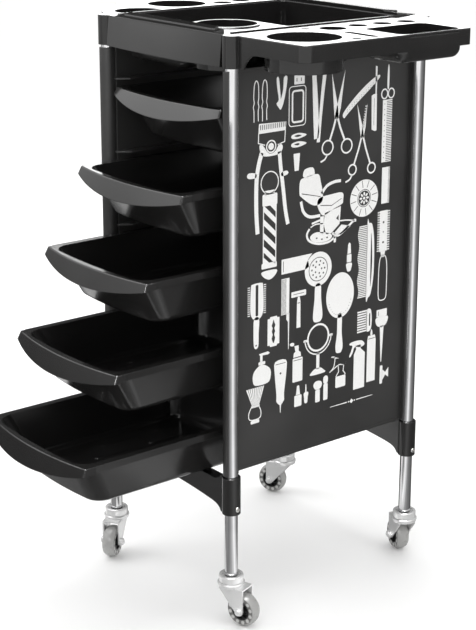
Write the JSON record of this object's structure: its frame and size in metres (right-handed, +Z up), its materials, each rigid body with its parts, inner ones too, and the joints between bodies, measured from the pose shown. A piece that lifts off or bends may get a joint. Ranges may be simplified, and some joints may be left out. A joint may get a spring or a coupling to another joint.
{
  "type": "salon trolley cart",
  "caption": "Rolling salon cart with staggered sliding trays between printed side panels, a bin top with side wings, chromed legs and swivel casters.",
  "frame": {"origin": "on the floor under the centre of the bounding box, with the trays as drawn out at rest", "axes": "+Z up, -Y the way the trays pull out, +X to the right of somebody who stands in front of the trays"},
  "size_m": [0.58, 0.6375, 0.8668],
  "materials": {
    "leg_chrome": "bright chrome plating",
    "caster_plating": "bright zinc plating on pressed steel",
    "bearing_steel": "ground steel balls",
    "screw_plating": "nickel plated",
    "wheel_core": "moulded black plastic",
    "tyre": "translucent grey polyurethane",
    "socket_plastic": "black plastic",
    "panel_plastic": "satin black, with a white printed pattern",
    "tray_plastic": "gloss black moulding",
    "gloss_black": "gloss black moulding"
  },
  "bodies": {
    "frame": {"leg_front_left": "leg_chrome", "leg_front_right": "leg_chrome", "leg_rear_left": "leg_chrome", "leg_rear_right": "leg_chrome", "base_rail_front": "gloss_black", "base_rail_rear": "gloss_black", "base_screws": "screw_plating", "side_panel_left": "panel_plastic", "side_panel_right": "panel_plastic", "top_tray": "gloss_black", "wing_left": "gloss_black", "wing_right": "gloss_black", "stem_sockets": "socket_plastic", "caster_stem_front_left": "caster_plating", "caster_stem_front_right": "caster_plating", "caster_stem_rear_left": "caster_plating", "caster_stem_rear_right": "caster_plating"},
    "tray_1": {"tray_1": "tray_plastic"},
    "tray_2": {"tray_2": "tray_plastic"},
    "tray_3": {"tray_3": "tray_plastic"},
    "tray_4": {"tray_4": "tray_plastic"},
    "tray_5": {"tray_5": "tray_plastic"},
    "swivel_front_left": {"caster_fork_front_left": "caster_plating", "caster_axle_front_left": "caster_plating", "caster_nut_front_left": "caster_plating", "caster_balls_front_left": "bearing_steel"},
    "wheel_front_left": {"caster_wheel_front_left": "wheel_core", "caster_tyre_front_left": "tyre"},
    "swivel_front_right": {"caster_fork_front_right": "caster_plating", "caster_axle_front_right": "caster_plating", "caster_nut_front_right": "caster_plating", "caster_balls_front_right": "bearing_steel"},
    "wheel_front_right": {"caster_wheel_front_right": "wheel_core", "caster_tyre_front_right": "tyre"},
    "swivel_rear_left": {"caster_fork_rear_left": "caster_plating", "caster_axle_rear_left": "caster_plating", "caster_nut_rear_left": "caster_plating", "caster_balls_rear_left": "bearing_steel"},
    "wheel_rear_left": {"caster_wheel_rear_left": "wheel_core", "caster_tyre_rear_left": "tyre"},
    "swivel_rear_right": {"caster_fork_rear_right": "caster_plating", "caster_axle_rear_right": "caster_plating", "caster_nut_rear_right": "caster_plating", "caster_balls_rear_right": "bearing_steel"},
    "wheel_rear_right": {"caster_wheel_rear_right": "wheel_core", "caster_tyre_rear_right": "tyre"}
  },
  "joints": [
    {"name": "tray_1_slide", "type": "slide", "parent": "frame", "child": "tray_1", "axis": [0, -1, 0], "range_m": [0, 0.255]},
    {"name": "tray_2_slide", "type": "slide", "parent": "frame", "child": "tray_2", "axis": [0, -1, 0], "range_m": [-0.066, 0.189]},
    {"name": "tray_3_slide", "type": "slide", "parent": "frame", "child": "tray_3", "axis": [0, -1, 0], "range_m": [-0.127, 0.128]},
    {"name": "tray_4_slide", "type": "slide", "parent": "frame", "child": "tray_4", "axis": [0, -1, 0], "range_m": [-0.178, 0.077]},
    {"name": "tray_5_slide", "type": "slide", "parent": "frame", "child": "tray_5", "axis": [0, -1, 0], "range_m": [-0.232, 0.023]},
    {"name": "swivel_front_left_turn", "type": "hinge", "parent": "frame", "child": "swivel_front_left", "pos_m": [-0.148, -0.05966, 0.06], "axis": [0, 0, 1], "continuous": true},
    {"name": "wheel_front_left_spin", "type": "hinge", "parent": "swivel_front_left", "child": "wheel_front_left", "pos_m": [-0.13507, -0.07746, 0.025], "axis": [0.809, 0.5878, 0], "continuous": true},
    {"name": "swivel_front_right_turn", "type": "hinge", "parent": "frame", "child": "swivel_front_right", "pos_m": [0.148, -0.05966, 0.06], "axis": [0, 0, 1], "continuous": true},
    {"name": "wheel_front_right_spin", "type": "hinge", "parent": "swivel_front_right", "child": "wheel_front_right", "pos_m": [0.16892, -0.05286, 0.025], "axis": [-0.309, 0.9511, 0], "continuous": true},
    {"name": "swivel_rear_left_turn", "type": "hinge", "parent": "frame", "child": "swivel_rear_left", "pos_m": [-0.148, 0.29234, 0.06], "axis": [0, 0, 1], "continuous": true},
    {"name": "wheel_rear_left_spin", "type": "hinge", "parent": "swivel_rear_left", "child": "wheel_rear_left", "pos_m": [-0.1681, 0.28339, 0.025], "axis": [0.4067, -0.9135, 0], "continuous": true},
    {"name": "swivel_rear_right_turn", "type": "hinge", "parent": "frame", "child": "swivel_rear_right", "pos_m": [0.148, 0.29234, 0.06], "axis": [0, 0, 1], "continuous": true},
    {"name": "wheel_rear_right_spin", "type": "hinge", "parent": "swivel_rear_right", "child": "wheel_rear_right", "pos_m": [0.12746, 0.30022, 0.025], "axis": [-0.3584, -0.9336, 0], "continuous": true}
  ]
}
